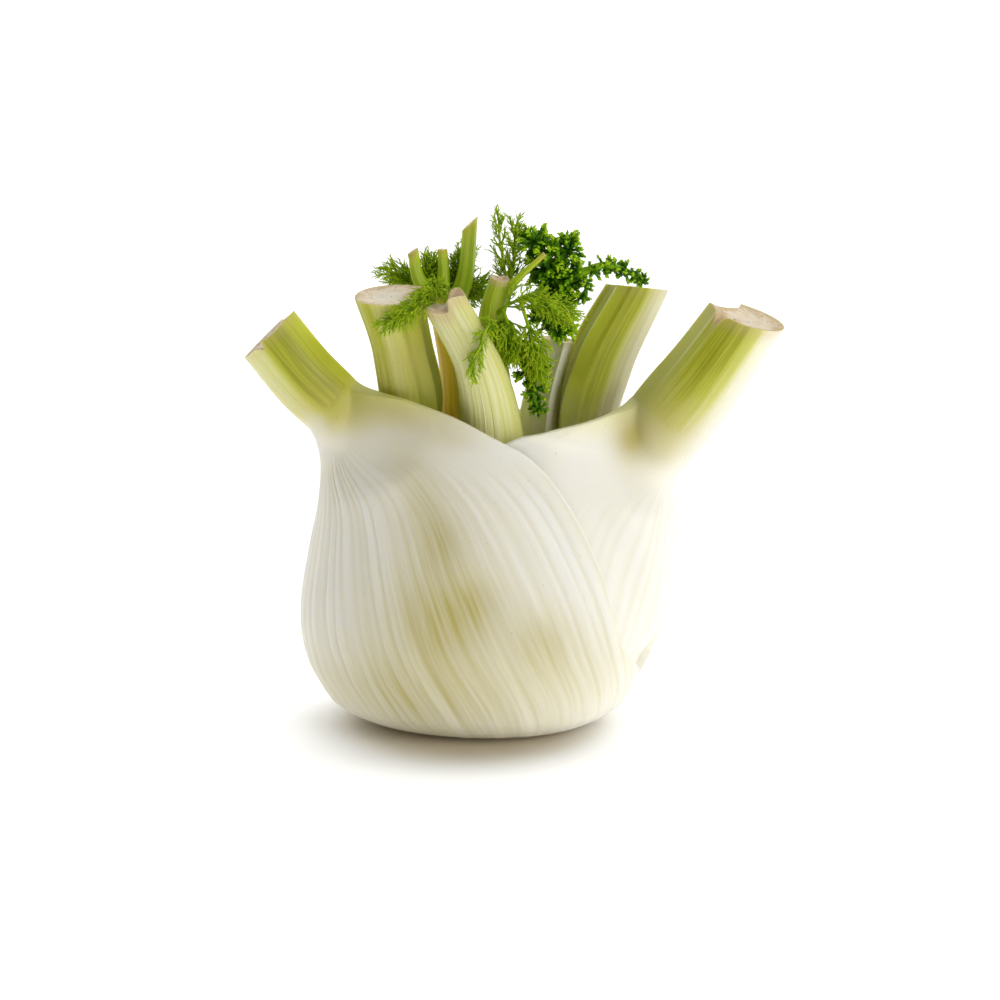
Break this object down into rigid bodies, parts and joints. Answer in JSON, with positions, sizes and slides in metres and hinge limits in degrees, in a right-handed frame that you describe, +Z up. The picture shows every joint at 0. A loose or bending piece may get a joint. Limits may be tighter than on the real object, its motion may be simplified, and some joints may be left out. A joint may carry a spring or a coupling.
{
  "type": "fennel bulb",
  "caption": "Trimmed fennel bulb: thick ribbed white sheaths wrapped round a short stem, cut green stalks above, and feathery and curly fronds at the heart.",
  "frame": {"origin": "middle of the flat root scar that the bulb stands on", "axes": "+Z up along the stem, front of the bulb towards -Y, +X to the right as seen from the front"},
  "size_m": [0.1427, 0.0774, 0.1413],
  "materials": {
    "stem": "matte, pale fibrous plant tissue",
    "sheath": "satin, waxy white leaf base turning green up the stalk",
    "stalk": "satin, waxy pale green stalk",
    "curly_frond": "matte, dark green young leaflets",
    "feathery_frond": "matte, mid green thread leaflets"
  },
  "bodies": {
    "root": {"stem_core": "stem", "leaf_outer_left": "sheath", "leaf_outer_right": "sheath", "leaf_second_left": "stalk", "leaf_second_right": "stalk", "leaf_third_front": "stalk", "leaf_third_back": "stalk", "leaf_inner_left": "stalk", "leaf_inner_front": "stalk", "frond_crown_curly": "curly_frond", "frond_drop_curly": "curly_frond", "frond_left_upper": "feathery_frond", "frond_left_fringe": "feathery_frond", "frond_front_sprig": "feathery_frond", "frond_top_fine": "feathery_frond", "frond_mid_fine": "feathery_frond"}
  },
  "joints": []
}
